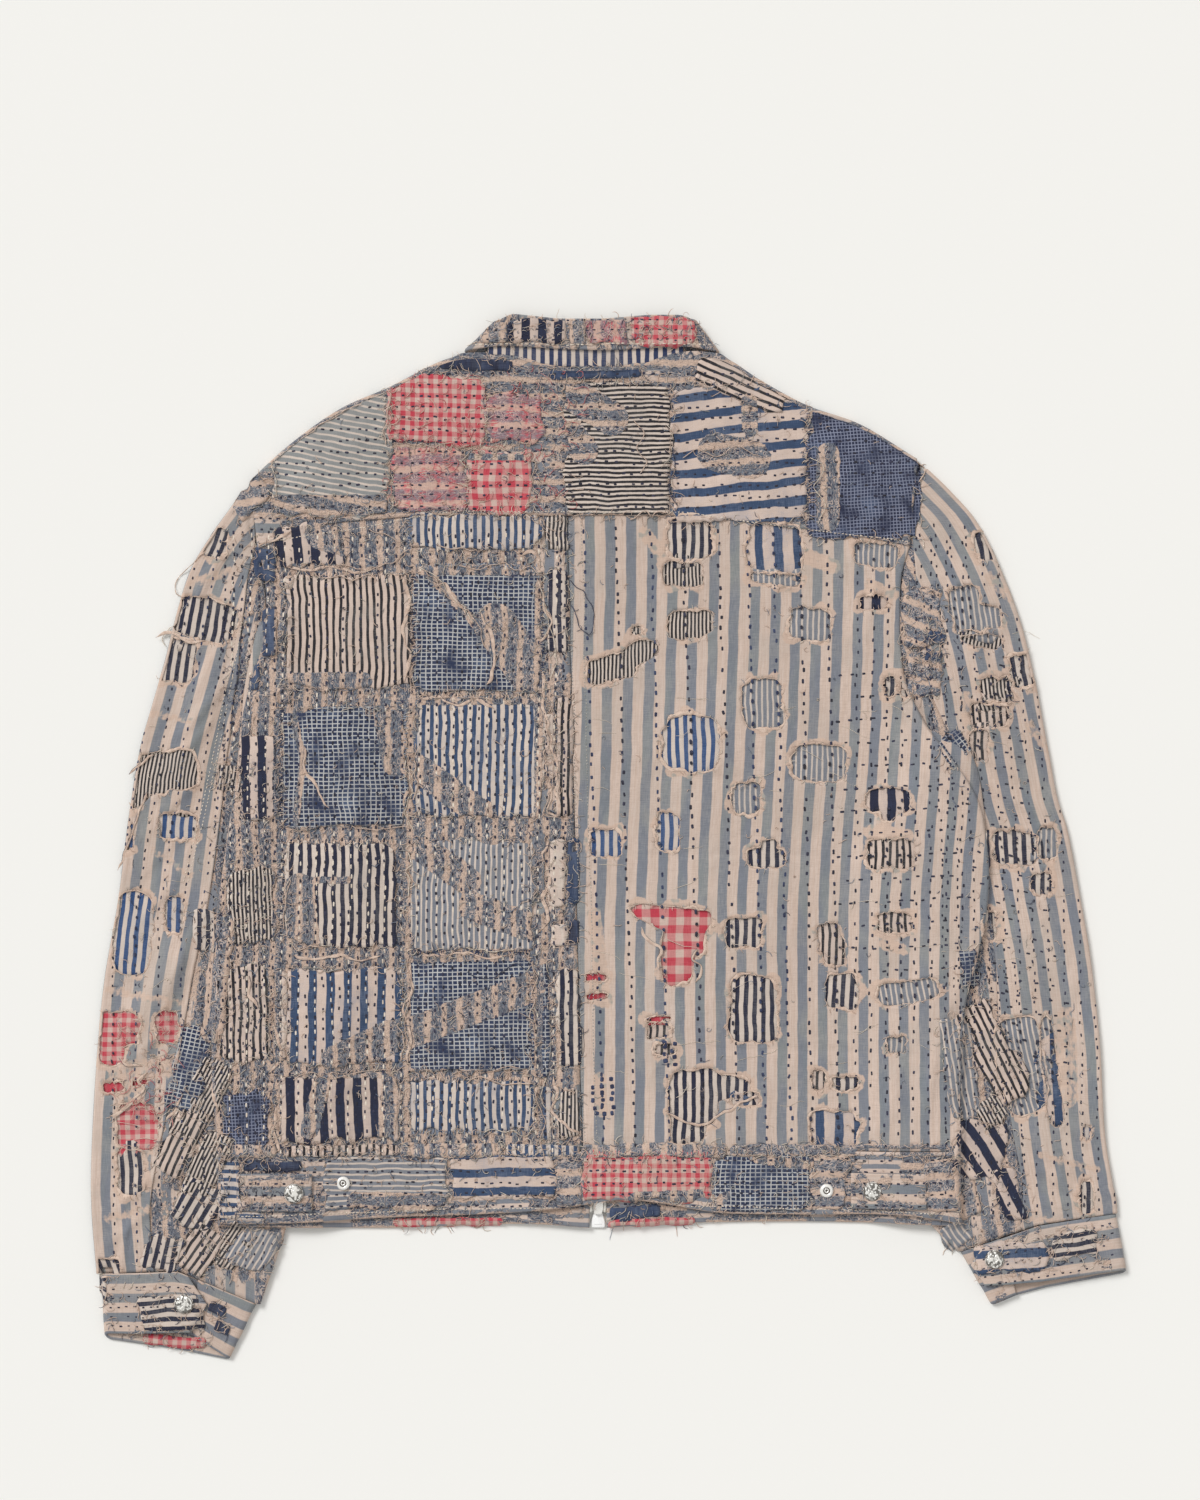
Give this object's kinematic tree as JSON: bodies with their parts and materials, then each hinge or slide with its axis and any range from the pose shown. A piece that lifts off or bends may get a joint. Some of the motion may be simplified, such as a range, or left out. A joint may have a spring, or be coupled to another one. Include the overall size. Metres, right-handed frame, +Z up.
{
  "type": "patched boro jacket",
  "caption": "Boxy boro work jacket laid face down: striped cotton back, sleeves and fronts patched, torn and darned all over, with snapped cuffs, waist tabs and a front zip.",
  "frame": {"origin": "on the surface the jacket lies on, under the middle of its outline", "axes": "+Z up from the surface through the front and then the back, +Y from the hem to the collar, +X from the wearer's left to the right"},
  "size_m": [0.8184, 0.8252, 0.0203],
  "materials": {
    "striped_cotton": "pinkish ecru cotton with slate-blue stripes, worn through and darned",
    "patchwork_cotton": "pieced and darned cottons with frayed edges",
    "slate_stripe": "slate-blue cotton with thin cream stripes",
    "blue_stripe": "cream cotton with broad blue stripes",
    "navy_bars": "cream cotton with broad navy bars",
    "fine_stripe": "cotton with fine black and cream stripes",
    "indigo_check": "indigo cotton with a fine pale check",
    "gingham": "faded red gingham, with mended and striped lengths",
    "zip_tape": "pale woven tape",
    "nickel": "satin nickel plate, faintly hammered on the caps"
  },
  "bodies": {
    "jacket": {"back_right": "striped_cotton", "front_left": "striped_cotton", "front_right": "striped_cotton", "sleeve_left_outer": "striped_cotton", "sleeve_right_outer": "striped_cotton", "cuff_left": "striped_cotton", "cuff_right": "striped_cotton", "waist_tab_left": "striped_cotton", "waist_tab_right": "striped_cotton", "back_left": "patchwork_cotton", "back_yoke": "patchwork_cotton", "waistband_back": "patchwork_cotton", "waistband_front_left": "patchwork_cotton", "waistband_front_right": "patchwork_cotton", "sleeve_left_under": "patchwork_cotton", "sleeve_right_under": "patchwork_cotton", "patch_slate_shoulder": "slate_stripe", "patch_slate_mid": "slate_stripe", "collar_stand": "blue_stripe", "patch_blue_top": "blue_stripe", "patch_blue_mid": "blue_stripe", "patch_broad_low": "blue_stripe", "patch_blue_low": "blue_stripe", "patch_broad_yoke": "blue_stripe", "patch_bars_top": "navy_bars", "patch_bars_low": "navy_bars", "patch_fine_upper": "fine_stripe", "patch_dark_mid": "fine_stripe", "patch_fine_yoke": "fine_stripe", "patch_check_upper": "indigo_check", "patch_check_mid": "indigo_check", "patch_check_low": "indigo_check", "patch_indigo_shoulder": "indigo_check", "collar_fall": "gingham", "patch_gingham_high": "gingham", "patch_gingham_low": "gingham", "zip_tape_left": "zip_tape", "zip_tape_right": "zip_tape", "zip_chain": "nickel", "zip_slider": "nickel", "snap_cap_waist_left": "nickel", "snap_cap_waist_right": "nickel", "snap_cap_cuff_left": "nickel", "snap_cap_cuff_right": "nickel", "snap_stud_left": "nickel", "snap_stud_right": "nickel"},
    "pull": {"zip_pull": "nickel"}
  },
  "joints": [
    {"name": "zip_pull_swing", "type": "hinge", "parent": "jacket", "child": "pull", "pos_m": [-0.009, -0.2915, 0.0019], "axis": [1, 0, 0], "range_deg": [0, 170]}
  ]
}
